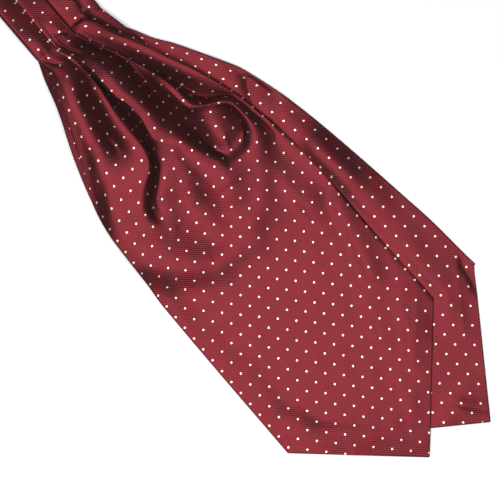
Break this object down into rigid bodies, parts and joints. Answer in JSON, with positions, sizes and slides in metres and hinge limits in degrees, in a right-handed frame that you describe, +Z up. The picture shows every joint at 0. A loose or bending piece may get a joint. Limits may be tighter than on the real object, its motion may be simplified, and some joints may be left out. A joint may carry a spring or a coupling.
{
  "type": "silk cravat",
  "caption": "Self-tie silk cravat with a pleated neckband, folded in half and laid flat, one pointed blade fanned over the other.",
  "frame": {"origin": "centre of the whole laid-out cravat's box, on the surface that it lies on", "axes": "+X runs along the upper blade towards its point, +Y across it towards the side where the lower blade shows, +Z up from the surface"},
  "size_m": [0.6112, 0.1902, 0.0201],
  "materials": {
    "silk": "burgundy satin-faced silk with fine ribs and small cream pin dots"
  },
  "bodies": {
    "root": {"upper_blade": "silk", "lower_blade": "silk", "upper_neckband": "silk", "lower_neckband": "silk", "neckband_turn": "silk"}
  },
  "joints": []
}
